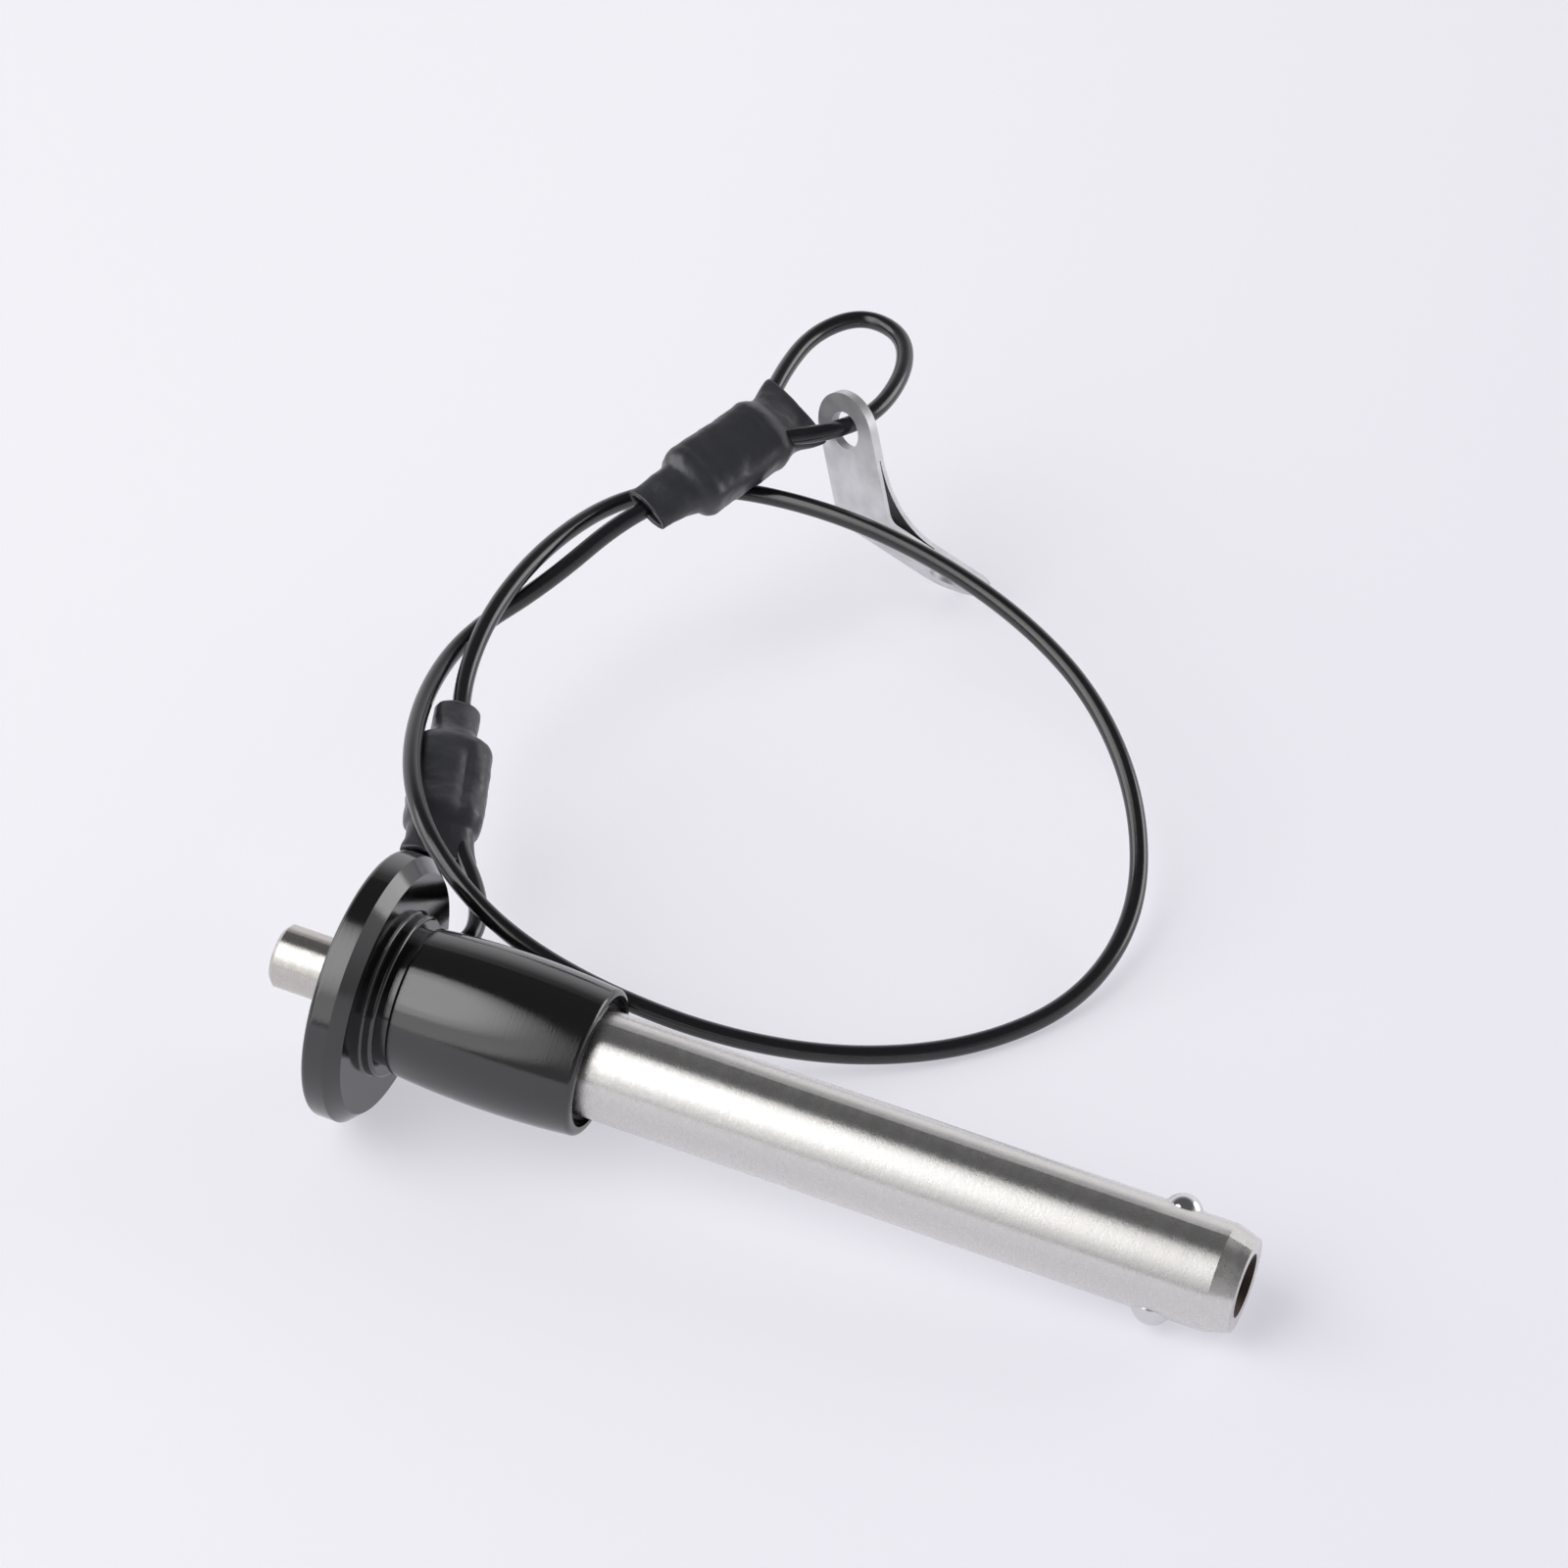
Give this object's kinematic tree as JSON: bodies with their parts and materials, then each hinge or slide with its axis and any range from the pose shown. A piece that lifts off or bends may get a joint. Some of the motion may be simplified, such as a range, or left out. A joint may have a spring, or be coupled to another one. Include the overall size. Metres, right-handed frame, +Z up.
{
  "type": "ball lock pin",
  "caption": "Ball lock pin: push-button flanged handle, long plain shank with spring-locked balls near its tip, and a wire lanyard with a bent fixing tab.",
  "frame": {"origin": "below the middle of the pin, on the surface it lies on", "axes": "+X along the pin's length towards its tip, +Z up, as the pin lies at rest on a level surface; the lanyard is on the +Y side"},
  "size_m": [0.0985, 0.1215, 0.0254],
  "materials": {
    "handle_black": "black anodised, gloss",
    "stainless_turned": "turned, satin",
    "button_steel": "satin",
    "ball_steel": "polished",
    "spring_steel": "drawn wire",
    "cable_black": "smooth black coating on wire rope",
    "ferrule_metal": "crimped",
    "heatshrink_black": "matte heat-shrink",
    "tab_steel": "satin sheet"
  },
  "bodies": {
    "pin": {"handle": "handle_black", "shank": "stainless_turned", "lanyard_cable": "cable_black", "ferrule_pin": "ferrule_metal", "ferrule_tab": "ferrule_metal", "heatshrink_pin": "heatshrink_black", "heatshrink_tab": "heatshrink_black", "fixing_tab": "tab_steel"},
    "plunger": {"push_button": "button_steel", "spindle": "button_steel", "return_spring": "spring_steel"},
    "upper_ball": {"ball_upper": "ball_steel"},
    "lower_ball": {"ball_lower": "ball_steel"}
  },
  "joints": [
    {"name": "button_slide", "type": "slide", "parent": "pin", "child": "plunger", "axis": [0.9955, 0, -0.0952], "range_m": [0, 0.0035], "stiffness_N_per_m": 1200, "springref_m": -0.003, "deforming": ["return_spring"]},
    {"name": "ball_upper_slide", "type": "slide", "parent": "pin", "child": "upper_ball", "axis": [-0.0696, -0.682, -0.728], "range_m": [0, 0.00102]},
    {"name": "ball_lower_slide", "type": "slide", "parent": "pin", "child": "lower_ball", "axis": [0.0696, 0.682, 0.728], "range_m": [0, 0.00102]}
  ],
  "couplings": [
    {"joint": "ball_upper_slide", "follows": "button_slide", "ratio": 0.29143},
    {"joint": "ball_lower_slide", "follows": "button_slide", "ratio": 0.29143}
  ]
}
